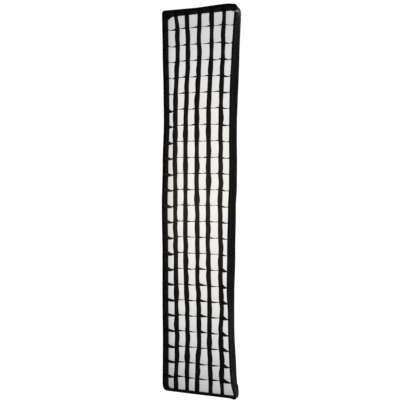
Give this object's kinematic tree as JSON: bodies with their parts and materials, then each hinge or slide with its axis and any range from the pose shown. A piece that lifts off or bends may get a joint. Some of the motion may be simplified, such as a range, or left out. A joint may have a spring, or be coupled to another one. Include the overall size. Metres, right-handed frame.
{
  "type": "strip softbox",
  "caption": "Tall narrow strip softbox with fabric lip, white diffuser, egg-crate grid, spring rods and a rotating speedring that takes a compact lamp head.",
  "frame": {"origin": "centre of the lamp collar's rear rim, where the lamp head seats", "axes": "+Y along the collar's bore towards the lamp, -Y the way the light leaves, +Z along the strip's long side, +X across it"},
  "size_m": [0.3144, 0.1282, 1.2064],
  "materials": {
    "collar_aluminium": "machined satin",
    "felt": "felt",
    "ring_casting": "satin powder coat",
    "bright_steel": "zinc plated",
    "knob_plastic": "fine matte",
    "rod_steel": "satin",
    "webbing": "ribbed",
    "white_webbing": "ribbed",
    "elastic": "ribbed elastic",
    "shell_cloth": "coated nylon, silver inside",
    "lip_cloth": "smooth coated nylon",
    "binding": "ribbed tape",
    "hook_and_loop": "hook and loop pile",
    "baffle_cloth": "thin matte weave",
    "diffuser_cloth": "translucent ripstop",
    "grid_cloth": "matte nylon"
  },
  "bodies": {
    "lamp_collar": {"lamp_collar": "collar_aluminium", "collar_liner": "felt"},
    "softbox": {"speedring": "ring_casting", "rod_carrier": "ring_casting", "carrier_screws": "bright_steel", "rod_top_left": "rod_steel", "rod_top_right": "rod_steel", "rod_bottom_left": "rod_steel", "rod_bottom_right": "rod_steel", "rod_ferrules": "bright_steel", "rod_tips": "knob_plastic", "corner_pockets": "webbing", "shell_left": "shell_cloth", "shell_right": "shell_cloth", "shell_top": "shell_cloth", "shell_bottom": "shell_cloth", "seam_piping": "webbing", "throat_elastic": "elastic", "lip_left": "lip_cloth", "lip_right": "lip_cloth", "lip_top": "lip_cloth", "lip_bottom": "lip_cloth", "binding_left": "binding", "binding_right": "binding", "binding_top": "binding", "binding_bottom": "binding", "lip_loop_tape": "hook_and_loop", "inner_baffle": "baffle_cloth", "baffle_hem": "white_webbing", "baffle_straps": "webbing"},
    "lock_top": {"lock_screw_top": "bright_steel", "lock_knob_top": "knob_plastic"},
    "lock_bottom": {"lock_screw_bottom": "bright_steel", "lock_knob_bottom": "knob_plastic"},
    "front_diffuser": {"front_diffuser": "diffuser_cloth", "diffuser_tape": "hook_and_loop"},
    "grid": {"grid_hook_tape": "hook_and_loop", "grid_band_left": "grid_cloth", "grid_band_right": "grid_cloth", "grid_band_top": "grid_cloth", "grid_band_bottom": "grid_cloth", "grid_row_strips": "grid_cloth", "grid_column_1": "grid_cloth", "grid_column_2": "grid_cloth", "grid_column_3": "grid_cloth", "grid_column_4": "grid_cloth", "grid_column_5": "grid_cloth"}
  },
  "joints": [
    {"name": "ring_turn", "type": "hinge", "parent": "lamp_collar", "child": "softbox", "pos_m": [0, 0, 0], "axis": [0, 1, 0], "continuous": true},
    {"name": "lock_top_turn", "type": "hinge", "parent": "softbox", "child": "lock_top", "pos_m": [0, -0.0168, 0.066], "axis": [0, 0, 1], "range_deg": [0, 360]},
    {"name": "lock_bottom_turn", "type": "hinge", "parent": "softbox", "child": "lock_bottom", "pos_m": [0, -0.0168, -0.066], "axis": [0, 0, -1], "range_deg": [0, 360]},
    {"name": "diffuser_pull", "type": "slide", "parent": "softbox", "child": "front_diffuser", "axis": [0, -1, 0], "range_m": [0, 0.05]},
    {"name": "grid_pull", "type": "slide", "parent": "front_diffuser", "child": "grid", "axis": [0, -1, 0], "range_m": [0, 0.05]}
  ]
}
